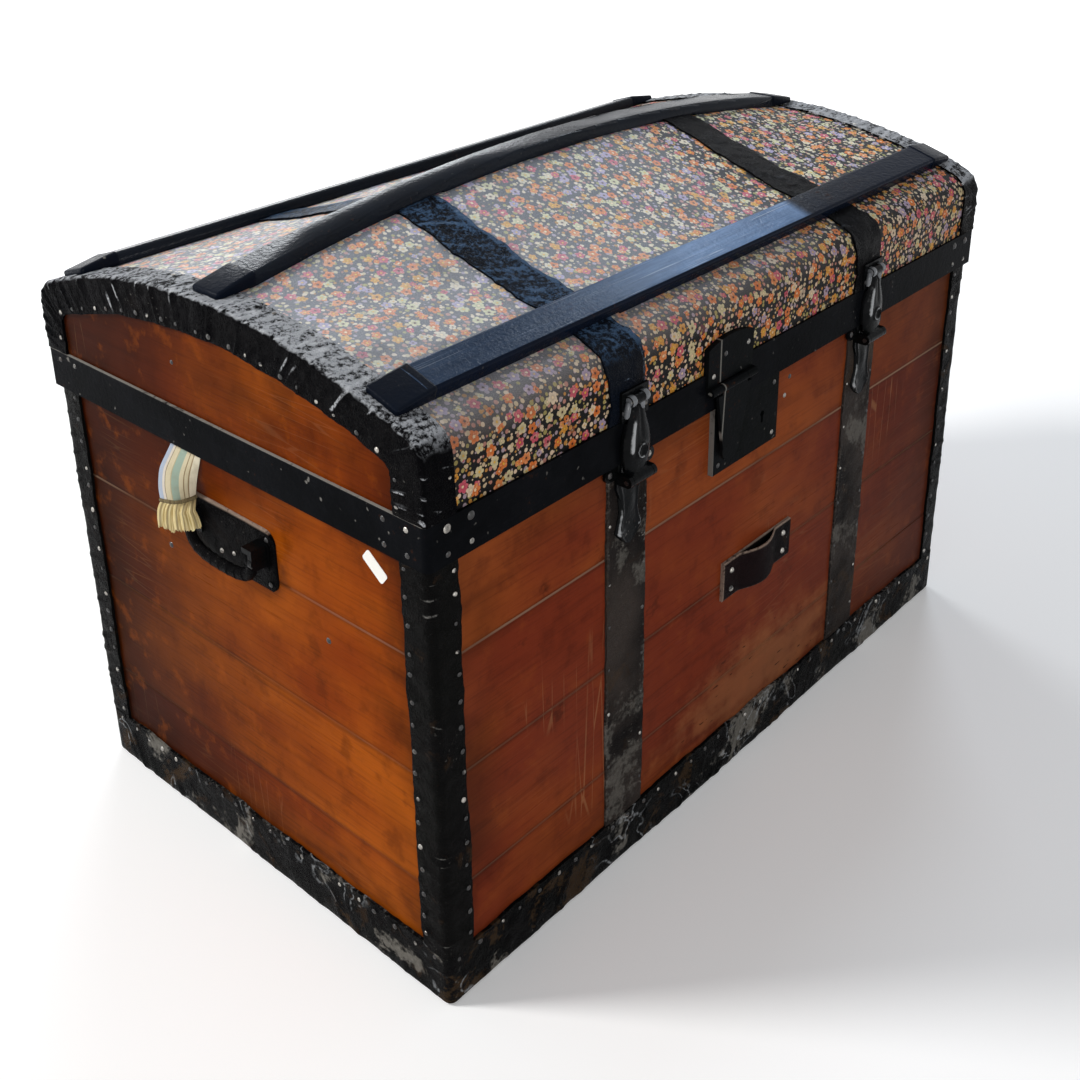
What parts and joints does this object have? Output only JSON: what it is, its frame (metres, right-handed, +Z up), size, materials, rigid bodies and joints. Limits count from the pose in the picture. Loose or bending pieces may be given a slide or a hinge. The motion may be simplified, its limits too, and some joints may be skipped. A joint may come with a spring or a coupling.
{
  "type": "dome top trunk",
  "caption": "Boarded wooden storage trunk with a hinged domed lid, slats, dark bindings, draw hasps, lock hasp, end handles and a front loop.",
  "frame": {"origin": "on the floor plane, under the middle of the trunk's overall box", "axes": "+X along the length to the trunk's right seen from the front, +Y to the back, +Z up; the front with the lock faces -Y"},
  "size_m": [0.854, 0.521, 0.6069],
  "materials": {
    "varnished_pine": "oiled and varnished pine, satin",
    "rough_pine": "unfinished pine",
    "black_leather": "glazed black leather, scuffed",
    "black_iron": "black japanned iron",
    "cast_black": "blackened casting with polished high spots",
    "nail_steel": "worn steel nail heads",
    "black_slat": "gloss black painted wood",
    "floral_cloth": "dark printed cotton, glazed",
    "lining_paper": "plain aged paper",
    "label_paper": "bare white paper",
    "woven_tape": "striped woven tape"
  },
  "bodies": {
    "chest": {"front_boards": "varnished_pine", "back_boards": "varnished_pine", "left_end_boards": "varnished_pine", "right_end_boards": "varnished_pine", "floor_boards": "rough_pine", "box_lining": "lining_paper", "corner_binding_front_left": "black_leather", "corner_binding_front_right": "black_leather", "corner_binding_back_left": "black_leather", "corner_binding_back_right": "black_leather", "bottom_binding_front": "black_leather", "bottom_binding_back": "black_leather", "bottom_binding_left": "black_leather", "bottom_binding_right": "black_leather", "front_straps": "black_leather", "back_straps": "black_leather", "left_handle_plate": "black_leather", "right_handle_plate": "black_leather", "front_loop_backing": "black_leather", "front_loop_strap": "black_leather", "back_band": "black_iron", "hinge_lower_leaves": "black_iron", "lock_plate": "black_iron", "hasp_plate_left": "cast_black", "hasp_plate_right": "cast_black", "left_handle_caps": "cast_black", "right_handle_caps": "cast_black", "hinge_pins": "nail_steel", "hasp_pins": "nail_steel", "box_nails": "nail_steel", "blank_label": "label_paper", "tape_tail": "woven_tape"},
    "lid": {"lid_front_rail": "rough_pine", "lid_back_rail": "rough_pine", "dome_boards": "rough_pine", "lid_left_panel": "varnished_pine", "lid_right_panel": "varnished_pine", "lid_cover": "floral_cloth", "lid_lining": "lining_paper", "rim_band_front": "black_iron", "rim_band_back": "black_iron", "rim_band_left_end": "black_iron", "rim_band_right_end": "black_iron", "arch_binding_left": "black_leather", "arch_binding_right": "black_leather", "lid_straps": "black_leather", "slat_front": "black_slat", "slat_middle": "black_slat", "slat_back": "black_slat", "slat_end_caps": "black_iron", "hinge_upper_leaves": "black_iron", "hasp_catches": "cast_black", "lock_upper_plate": "black_iron", "lock_pin": "nail_steel", "lid_nails": "nail_steel"},
    "left_lever": {"hasp_lever_left": "cast_black"},
    "right_lever": {"hasp_lever_right": "cast_black"},
    "lock_hasp": {"lock_tongue": "black_iron"},
    "left_grip": {"left_handle_grip": "black_leather"},
    "right_grip": {"right_handle_grip": "black_leather"}
  },
  "joints": [
    {"name": "lid_hinge", "type": "hinge", "parent": "chest", "child": "lid", "pos_m": [0, 0.255, 0.44048], "axis": [-1, 0, 0], "range_deg": [0, 105]},
    {"name": "left_hasp", "type": "hinge", "parent": "chest", "child": "left_lever", "pos_m": [-0.184, -0.2555, 0.404], "axis": [1, 0, 0], "range_deg": [0, 150]},
    {"name": "right_hasp", "type": "hinge", "parent": "chest", "child": "right_lever", "pos_m": [0.191, -0.2555, 0.404], "axis": [1, 0, 0], "range_deg": [0, 150]},
    {"name": "lock_pivot", "type": "hinge", "parent": "lid", "child": "lock_hasp", "pos_m": [-0.051, -0.253, 0.439], "axis": [-1, 0, 0], "range_deg": [0, 120]},
    {"name": "left_handle_pivot", "type": "hinge", "parent": "chest", "child": "left_grip", "pos_m": [-0.4195, -0.004, 0.352], "axis": [0, 1, 0], "range_deg": [0, 90]},
    {"name": "right_handle_pivot", "type": "hinge", "parent": "chest", "child": "right_grip", "pos_m": [0.4195, -0.004, 0.352], "axis": [0, -1, 0], "range_deg": [0, 90]}
  ]
}
